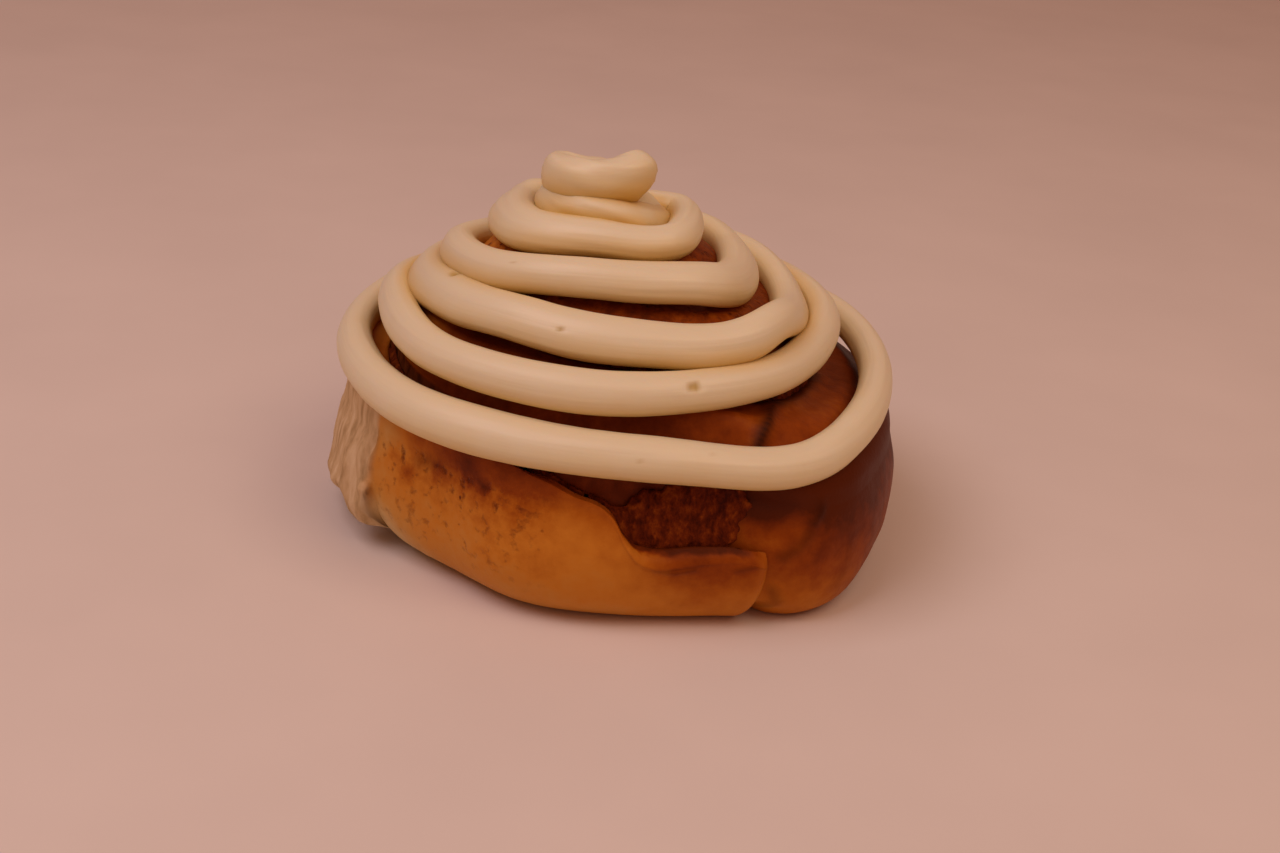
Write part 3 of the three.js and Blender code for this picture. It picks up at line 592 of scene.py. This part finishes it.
def make_dough(material):
    rolled = rolling_angles(0.0, ROLLED_ANGLE)
    points = dough_points(rolled)
    normals = surface_normals(points)
    rolled = rolled[:, None]
    bearing = np.broadcast_to(TAIL_BEARING - rolled, points.shape[:2])
    angle = front_bearing(bearing)
    arc = np.radians(angle) * SKIN_RADIUS
    height = points[..., 2]
    columns = np.arange(points.shape[1])[None, :]
    is_skin = columns < SKIN_COLUMNS
    is_top = (columns >= SKIN_COLUMNS) & (columns < SKIN_COLUMNS + TOP_COLUMNS)
    buried = ease(rolled, FULL_TURN + 2, FULL_TURN + 10)
    outer = is_skin * (1 - buried)
    inner_wall = is_skin * buried
    lifted = ease(height, 0.2, 3)

    torn = tornness(bearing) * (outer + is_top) * (rolled < FULL_TURN) * (1 - ease(height, 28.5, 31))
    upright = points * np.array([1, 1, 0.3])
    fibres = layered_lumps(upright, TORN_FIBRES) + layered_lumps(points, TORN_CRUMBS)
    broad = layered_lumps(points, BROAD_LUMPS)
    streaks = layered_lumps(upright, WALL_STREAKS)
    relief = mix(mix(broad, streaks, inner_wall), fibres, torn)
    rise, crease_shade = skin_marks(arc, angle, height)
    away = distance_to_path(points[..., 0], points[..., 1], TOP_CREASE)
    top_crease = is_top * ease(rolled, 250, 270) * (1 - ease(rolled, 375, 385))
    top_crease = top_crease * np.exp(-(away / TOP_CREASE_WIDTH) ** 2)
    relief = relief + outer * rise - TOP_CREASE_DEPTH * top_crease
    points = points + normals * (relief * lifted)[..., None]

    ones = np.ones(points.shape[:2])
    bake = baked(rolled, arc, angle, height, inner_wall, is_top)
    soak = soaked(points, angle) * (rolled < FULL_TURN / 2)
    masks = {
        "torn": torn,
        "bake": mix(bake, BAKE_SOAKED, 0.9 * soak),
        # Specks on the front, and painted shade in the pores on the top.
        "speck_and_pore_shade": np.maximum(speckled(angle, height) * outer, is_top * ease(height, 44, 48)),
        "stain": inner_wall * ease(rolled, 400, 460),
        # Painted shade in the creases, the crevice and the crease across the top.
        "crease_shade": np.maximum(crease_shade * outer, top_crease),
    }
    return tube_piece("dough_crust", points, material, {key: mask * ones for key, mask in masks.items()})


def filling_points(rolled):
    rolled = rolled[:, None]
    foot = seam_height(rolled)
    uneven = 0.4 * np.sin(rolled * 0.05) + 0.3 * np.sin(rolled * 0.9) + 0.2 * np.sin(rolled * 2.3 + 1)
    shown = curve_through(FILLING_SHOWN, rolled)
    sag = FILLING_SAG * ease(rolled, 389, 394) * (1 - ease(rolled, 430, 450))
    top = foot + shown + uneven * ease(shown, 1, 6) - sag
    rise = np.linspace(0, 1, FILLING_LEVELS)[None, :]
    low = np.array([FILLING_FLOOR, *FOOT_LEVELS[1:]])[None, :] + 0 * foot
    side = np.concatenate([low, mix(foot, top, rise)], axis=1)
    height = np.concatenate([side, side[:, ::-1]], axis=1)
    edge = np.concatenate([np.ones_like(side), -np.ones_like(side)], axis=1)
    near_start = 1 - ease(rolled, FILLING_START, FILLING_START + 12)
    ragged = 0.5 * np.sin(height * 1.3) + 0.3 * np.sin(height * 3.1 + 1)
    slanted = rolled + near_start * (FILLING_SLANT * (1 - ease(height, 14, 25)) + ragged + 0.8)
    bearing = TAIL_BEARING - slanted
    reach = outline_reach(bearing)
    lean = WALL_LEAN * np.maximum(0, height - foot)
    thin = 1 - 0.5 * ease(height, top - 0.8, top)
    inwards = lean + 0.45 * ease(height, top - 1.6, top)
    share = curve_through(SEAM_SHARE, slanted) + (edge * FILLING_THICKNESS * thin / 2 - inwards) / reach
    return bun_point(share, bearing, height, buried_foot_inset(height))


def make_filling(material):
    rolled = rolling_angles(FILLING_START, ROLLED_ANGLE)
    points = filling_points(rolled)
    normals = surface_normals(points)
    exposed = ease(points[..., 2], 12, 16)
    upright = points * np.array([1, 1, 0.55])
    relief = layered_lumps(upright, FILLING_LUMPS)
    points = points + normals * (relief * exposed)[..., None]
    return tube_piece("filling_sheet", points, material, {})


def side_of(side, turn):
    """Reach and height of the rope on a side at a turn."""
    return side[0][turn], side[1][turn]


def rope_knots():
    """Four sides and four corners to a turn, from the back, turning left."""
    knots = []
    turns = len(ICING_LEFT[0])
    for turn in range(turns):
        back, left, front, right = (
            side_of(side, turn) for side in (ICING_BACK, ICING_LEFT, ICING_FRONT, ICING_RIGHT)
        )
        middle = np.array([(left[0] + right[0]) / 2, (front[0] + back[0]) / 2])

        def corner(across, along, fullness):
            offset = (np.array([across[0], along[0]]) - middle) * fullness * np.sqrt(0.5)
            return [*(middle + offset), (across[1] + along[1]) / 2]

        knots.append([middle[0], back[0], back[1]])
        knots.append(corner(left, back, CORNER_BACK_LEFT[turn]))
        knots.append([left[0], middle[1], left[1]])
        knots.append(corner(left, front, CORNER_FRONT_LEFT[turn]))
        knots.append([middle[0], front[0], front[1]])
        knots.append(corner(right, front, CORNER_FRONT_RIGHT[turn]))
        knots.append([right[0], middle[1], right[1]])
        if turn < turns - 1:
            knots.append(corner(right, side_of(ICING_BACK, turn + 1), CORNER_BACK_RIGHT[turn]))
    return np.array(knots)


def rope_line():
    """Points at even steps along a centripetal Catmull-Rom curve through the knots."""
    knots = rope_knots()
    knots = np.concatenate([[2 * knots[0] - knots[1]], knots, [2 * knots[-1] - knots[-2]]])
    t = np.linspace(0, 1, STEPS_FROM_KNOT, endpoint=False)[:, None]
    pieces = []
    for p0, p1, p2, p3 in zip(knots, knots[1:], knots[2:], knots[3:]):
        d0, d1, d2 = (np.sqrt(np.linalg.norm(b - a)) for a, b in ((p0, p1), (p1, p2), (p2, p3)))
        start = ((p1 - p0) / d0 - (p2 - p0) / (d0 + d1) + (p2 - p1) / d1) * d1
        end = ((p2 - p1) / d1 - (p3 - p1) / (d1 + d2) + (p3 - p2) / d2) * d1
        cubic = p1 + start * t + (3 * (p2 - p1) - 2 * start - end) * t ** 2
        pieces.append(cubic + (2 * (p1 - p2) + start + end) * t ** 3)
    line = np.concatenate(pieces + [knots[-2:-1]])
    turns = np.arange(len(line)) / len(t) / KNOTS_IN_TURN
    for turn, rise in ROPE_WAVERS:
        line[:, 2] += rise * np.exp(-((turns - turn) / WAVER_SPREAD) ** 2)
    runs = np.concatenate([[0], np.cumsum(np.linalg.norm(np.diff(line, axis=0), axis=1))])
    count = int(runs[-1] / ROPE_STEP)
    places = np.linspace(0, runs[-1], count + 1)
    even = [np.interp(places, runs, values) for values in (*line.T, turns)]
    return np.stack(even[:3], axis=1), places, even[3]


def rope_axes(line):
    """For each point of the line: across the rope towards its lower side, and away from the bun."""
    forward = np.gradient(line, axis=0)
    forward /= np.linalg.norm(forward, axis=1, keepdims=True)
    outward = (line - [*APEX, 0]) * [1, 1, 0]
    outward /= np.linalg.norm(outward, axis=1, keepdims=True)
    slope = np.radians(mix(ROPE_TILT_LOW, ROPE_TILT_HIGH, ease(line[:, 2], *ROPE_TILT_RISE)))[:, None]
    normal = outward * np.sin(slope) + np.array([0, 0, 1]) * np.cos(slope)
    across = np.cross(forward, normal)
    across /= np.linalg.norm(across, axis=1, keepdims=True)
    return across, np.cross(across, forward)


def turn_creases(line, turns, across, normal, angles):
    """How near each side of the rope is to the turns beside it, as a mask of painted shade in the creases,
    and how far it settles below.
    """
    apart = np.linalg.norm(line[:, None] - line[None], axis=2)
    crease_shade = np.zeros((len(line), len(angles)))
    for sign in (-1, 1):
        beyond = sign * (turns[None] - turns[:, None]) > 0.5
        nearest = np.argmin(np.where(beyond, apart, np.inf), axis=1)
        gap = np.where(beyond.any(axis=1), apart[np.arange(len(line)), nearest] - TOUCHING, FAR_APART)
        towards = line[nearest] - line
        facing = np.arctan2((towards * normal).sum(axis=1), (towards * across).sum(axis=1))
        turned = np.cos(angles[None] - facing[:, None])
        crease_shade += np.exp(-np.maximum(gap, 0) / 1.6)[:, None] * ease(turned, 0.2, 0.95)
        if sign < 0:
            settling = SETTLING * np.exp(-((gap - 0.6) / 0.9) ** 2)[:, None] * ease(turned, 0.4, 1)
    return np.clip(crease_shade, 0, 1), settling


def make_icing(material):
    line, runs, turns = rope_line()
    across, normal = rope_axes(line)
    thickness = curve_through(ROPE_THICKNESS, turns)
    from_end = np.minimum(runs, runs[-1] - runs) / (thickness / 2)
    taper = np.sqrt(1 - np.clip(1 - from_end, 0, 0.995) ** 2)
    swell = 1 + 0.03 * lumps(line, 14, 2.5) + 0.015 * lumps(line, 5, 6.5)
    for turn, growth, spread in KNOBS:
        swell += growth * np.exp(-((turns - turn) / spread) ** 2)
    half_width = curve_through(ROPE_WIDTH, turns) / 2 * swell
    half_thickness = thickness / 2 * swell
    angles = np.linspace(0, 2 * np.pi, ROPE_SIDES, endpoint=False)

    twisted = angles[None] + np.radians(curve_through(ROPE_TWIST, turns))[:, None]
    along = np.broadcast_to(runs[:, None], twisted.shape)
    fine = lumps(np.stack([3 * np.cos(twisted), 3 * np.sin(twisted), along / 24], axis=-1), 0.8, 3.3)
    coarse = lumps(np.stack([3 * np.cos(twisted), 3 * np.sin(twisted), along / 14], axis=-1), 2.8, 7.1)
    relief = curve_through(RIDGE_DEPTH, turns)[:, None] * fine
    relief = relief + curve_through(FOLD_DEPTH, turns)[:, None] * coarse
    # The pits also make a mask of painted shade in them.
    pit_shade_mask = np.zeros(relief.shape)
    for turn, facing, radius, depth in PITS:
        beside = (np.mod(angles[None] - np.radians(facing) + np.pi, 2 * np.pi) - np.pi) * 3.4
        away = np.hypot(along - np.interp(turn, turns, runs), beside) / radius
        pit_shade_mask = np.maximum(pit_shade_mask, np.exp(-away ** 4))
        relief = relief - depth * np.exp(-away ** 4)

    creases, settling = turn_creases(line, turns, across, normal, angles)
    relief = relief + settling
    sideways = ((half_width[:, None] + relief) * taper[:, None]) * np.cos(angles)
    upwards = ((half_thickness[:, None] + relief) * taper[:, None]) * np.sin(angles)
    points = line[:, None] + across[:, None] * sideways[..., None] + normal[:, None] * upwards[..., None]
    masks = {
        # Painted shade: the rope's lower side is coloured darker and yellower.
        "under": np.broadcast_to((1 - np.sin(angles - 0.35)) / 2, relief.shape),
        "crease_shade": creases,
        "pit_shade": pit_shade_mask,
    }
    return tube_piece("icing_rope", points, material, masks)


class Recipe:
    """The nodes of one material, added one after another."""

    def __init__(self, name):
        self.material = bpy.data.materials.new(name)
        self.material.use_nodes = True
        self.tree = self.material.node_tree
        self.shader = self.tree.nodes["Principled BSDF"]

    def feed(self, node, inputs):
        for key, value in inputs.items():
            if isinstance(value, bpy.types.NodeSocket):
                self.tree.links.new(value, node.inputs[key])
            else:
                node.inputs[key].default_value = value
        return node

    def add(self, kind, inputs=None, **settings):
        node = self.tree.nodes.new(kind)
        for key, value in settings.items():
            setattr(node, key, value)
        return self.feed(node, inputs or {})

    def place(self):
        return self.add("ShaderNodeTexCoord").outputs["Object"]

    def mask(self, name):
        return self.add("ShaderNodeAttribute", attribute_name=name).outputs["Fac"]

    def grain(self, size, detail=3.0, vector=None, roughness=0.55):
        """Noise with grains of that size in mm."""
        inputs = {"Vector": vector or self.place(), "Scale": 1 / (size * MM), "Detail": detail}
        return self.add("ShaderNodeTexNoise", {**inputs, "Roughness": roughness}).outputs["Fac"]

    def stretched(self, vector, scale):
        return self.add("ShaderNodeMapping", {"Vector": vector, "Scale": scale}).outputs[0]

    def vary(self, value, size, amount):
        """The value, a little more or less from place to place."""
        less = self.maths("SUBTRACT", value, amount / 2)
        return self.maths("MULTIPLY_ADD", self.grain(size), amount, less)

    def wobbly(self, vector, size, amount):
        """The vector pushed about by up to that amount in mm."""
        noise_inputs = {"Vector": vector, "Scale": 1 / (size * MM), "Detail": 2.0}
        push = self.add("ShaderNodeTexNoise", noise_inputs).outputs["Color"]
        inputs = {0: push, 1: (amount * MM,) * 3, 2: vector}
        return self.add("ShaderNodeVectorMath", inputs, operation="MULTIPLY_ADD").outputs[0]

    def dots(self, spacing, size, share, vector):
        """Round dots, at about that spacing in mm, in a share of their cells."""
        inputs = {"Vector": vector, "Scale": 1 / (spacing * MM)}
        node = self.add("ShaderNodeTexVoronoi", inputs)
        lot = self.add("ShaderNodeSeparateColor", {0: node.outputs["Color"]}).outputs[0]
        kept = self.maths("LESS_THAN", lot, share)
        edge = {0: node.outputs["Distance"], 1: size, 2: size * 0.5}
        dot = self.add("ShaderNodeMapRange", edge).outputs[0]
        return self.maths("MULTIPLY", kept, dot)

    def ramp(self, factor, stops):
        """Colours or grey values at stops."""
        node = self.add("ShaderNodeValToRGB", {"Fac": factor})
        elements = node.color_ramp.elements
        while len(elements) < len(stops):
            elements.new(0.5)
        for element, (position, value) in zip(elements, stops):
            element.position = position
            element.color = (*value, 1) if isinstance(value, tuple) else (value, value, value, 1)
        return node.outputs["Color"]

    def blend(self, share, a, b):
        node = self.add("ShaderNodeMix", data_type="RGBA")
        for index, value in ((0, share), (6, a), (7, b)):
            if isinstance(value, bpy.types.NodeSocket):
                self.tree.links.new(value, node.inputs[index])
            else:
                node.inputs[index].default_value = value if index == 0 else (*value, 1)
        return node.outputs[2]

    def maths(self, operation, a, b=0.0, c=0.0):
        return self.add("ShaderNodeMath", {0: a, 1: b, 2: c}, operation=operation).outputs[0]

    def bump(self, height, distance, strength=1.0, normal=None):
        inputs = {"Height": height, "Distance": distance * MM, "Strength": strength}
        if normal:
            inputs["Normal"] = normal
        return self.add("ShaderNodeBump", inputs).outputs["Normal"]


def crust_material():
    recipe = Recipe("baked_crust")
    torn, stain, speck_and_pore_shade = recipe.mask("torn"), recipe.mask("stain"), recipe.mask("speck_and_pore_shade")
    place = recipe.place()
    upright = recipe.stretched(place, (1, 1, 0.25))
    bake = recipe.vary(recipe.mask("bake"), 9, 0.3)
    mottled = recipe.maths("SUBTRACT", recipe.grain(2.2, 5, place, 0.65), 0.5)
    contrast = recipe.maths("MULTIPLY_ADD", speck_and_pore_shade, 0.35, recipe.maths("MULTIPLY", bake, 0.3))
    bake = recipe.maths("MULTIPLY_ADD", mottled, contrast, bake)
    crust = recipe.ramp(bake, CRUST_COLOURS)
    dark = recipe.ramp(recipe.grain(1.8, 4, upright), STAIN_COLOURS)
    crumb = recipe.ramp(recipe.grain(2.2, 5, upright), CRUMB_COLOURS)
    dots = recipe.dots(2.4, 0.16, 0.3, recipe.wobbly(place, 3, 0.6))
    blots = recipe.ramp(recipe.grain(1.8, 5), [(0.56, 0.0), (0.7, 0.75)])
    # Dark specks, partly painted shade in the pores; the same dots are dented by the bump below.
    specks = recipe.maths("MULTIPLY", speck_and_pore_shade, recipe.maths("MAXIMUM", dots, blots))
    colour = recipe.blend(specks, crust, SPECK_AND_PORE_SHADE_COLOUR)
    # Painted shade: the creases and the crevice are darkened.
    colour = recipe.blend(recipe.mask("crease_shade"), colour, CREASE_SHADE_COLOUR)
    colour = recipe.blend(stain, colour, dark)
    colour = recipe.blend(torn, colour, crumb)
    rough = recipe.vary(recipe.ramp(torn, [(0, 0.45), (1, 0.92)]), 3, 0.2)
    fine = recipe.bump(recipe.grain(0.7, 4), 0.12, 0.5)
    pitted = recipe.bump(recipe.maths("SUBTRACT", 1.0, specks), 0.4, 0.7, fine)
    recipe.feed(recipe.shader, {
        "Base Color": colour, "Roughness": rough, "Normal": pitted, "Specular IOR Level": 0.07,
    })
    return recipe.material


def filling_material():
    recipe = Recipe("cinnamon_filling")
    upright = recipe.stretched(recipe.place(), (1, 1, 0.6))
    clumps = recipe.grain(1.7, 4, recipe.wobbly(upright, 1.4, 1.2), 0.5)
    crumbs = recipe.grain(0.7, 4, upright, 0.6)
    shade = recipe.maths("MULTIPLY_ADD", crumbs, 0.4, recipe.maths("MULTIPLY", clumps, 0.6))
    colour = recipe.ramp(shade, FILLING_COLOURS)
    hollow = recipe.bump(shade, 0.9, 0.8)
    grit = recipe.bump(recipe.grain(0.5, 4), 0.15, 0.5, hollow)
    recipe.feed(recipe.shader, {
        "Base Color": colour, "Roughness": 0.7, "Normal": grit, "Specular IOR Level": 0.08,
    })
    return recipe.material


def icing_material():
    recipe = Recipe("cream_icing")
    under, crease_shade, pit_shade = recipe.mask("under"), recipe.mask("crease_shade"), recipe.mask("pit_shade")
    # Painted shade on the rope's lower side.
    underside_shade = recipe.vary(under, 7, 0.24)
    cream = recipe.ramp(underside_shade, ICING_COLOURS_WITH_UNDERSIDE_SHADE)
    # Painted warm shade in the creases between turns.
    cream = recipe.blend(recipe.maths("MULTIPLY", crease_shade, 0.85), cream, ICING_CREASE_SHADE_COLOUR)
    # Painted shade in the burst bubbles.
    cream = recipe.blend(recipe.maths("MULTIPLY", pit_shade, 0.9), cream, PIT_SHADE_COLOUR)
    uv = recipe.add("ShaderNodeUVMap", uv_map="UVMap").outputs["UV"]
    lengthwise = recipe.stretched(uv, (46, 24, 1))
    streak_inputs = {"Vector": lengthwise, "Scale": 1.0, "Detail": 3.0}
    streak = recipe.add("ShaderNodeTexNoise", streak_inputs).outputs["Fac"]
    ridges = recipe.bump(streak, 0.25, 0.3)
    soft = recipe.bump(recipe.grain(1.5, 3), 0.1, 0.25, ridges)
    rough = recipe.ramp(streak, [(0.3, 0.32), (0.7, 0.46)])
    recipe.feed(recipe.shader, {
        "Base Color": cream, "Roughness": rough, "Normal": soft, "Subsurface Weight": 0.3,
        "Subsurface Radius": (1.0, 0.7, 0.4), "Subsurface Scale": 0.0012,
    })
    return recipe.material


def floor_material():
    recipe = Recipe("pale_floor")
    colour = recipe.ramp(recipe.grain(60), FLOOR_COLOURS)
    recipe.feed(recipe.shader, {"Base Color": colour, "Roughness": 0.7})
    return recipe.material


def make_floor():
    bm = bmesh.new()
    bmesh.ops.create_grid(bm, x_segments=1, y_segments=1, size=FLOOR_SIZE)
    mesh = bpy.data.meshes.new("floor")
    bm.to_mesh(mesh)
    bm.free()
    floor = bpy.data.objects.new("floor", mesh)
    mesh.materials.append(floor_material())
    bpy.context.scene.collection.objects.link(floor)


def make_light(name, place, power, colour):
    data = bpy.data.lights.new(name, "AREA")
    data.size = LIGHT_SIZE
    data.energy = power
    data.color = colour
    light = bpy.data.objects.new(name, data)
    light.location = place
    light.rotation_euler = (Vector(LIGHT_AIM) - Vector(place)).to_track_quat("-Z", "Y").to_euler()
    bpy.context.scene.collection.objects.link(light)


def make_setting():
    make_floor()
    for light in LIGHTS:
        make_light(*light)
    world = bpy.data.worlds.new("room")
    world.use_nodes = True
    background = world.node_tree.nodes["Background"]
    background.inputs["Color"].default_value = ROOM_COLOUR
    background.inputs["Strength"].default_value = ROOM_STRENGTH
    bpy.context.scene.world = world
    bpy.context.scene.view_settings.view_transform = "Standard"


def make_camera():
    data = bpy.data.cameras.new("camera")
    data.lens = CAMERA_LENS
    data.sensor_width = CAMERA_SENSOR
    data.clip_start = 0.01
    camera = bpy.data.objects.new("camera", data)
    right, up = Vector(CAMERA_RIGHT), Vector(CAMERA_UP)
    turn = Matrix((right, up, right.cross(up))).transposed().to_4x4()
    camera.matrix_world = Matrix.Translation(CAMERA_PLACE) @ turn
    bpy.context.scene.collection.objects.link(camera)
    bpy.context.scene.camera = camera


def dress(piece, node):
    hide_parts(node)
    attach(piece, "root")


dress(make_dough(crust_material()), "dough")
dress(make_filling(filling_material()), "filling")
dress(make_icing(icing_material()), "icing")
make_setting()
make_camera()
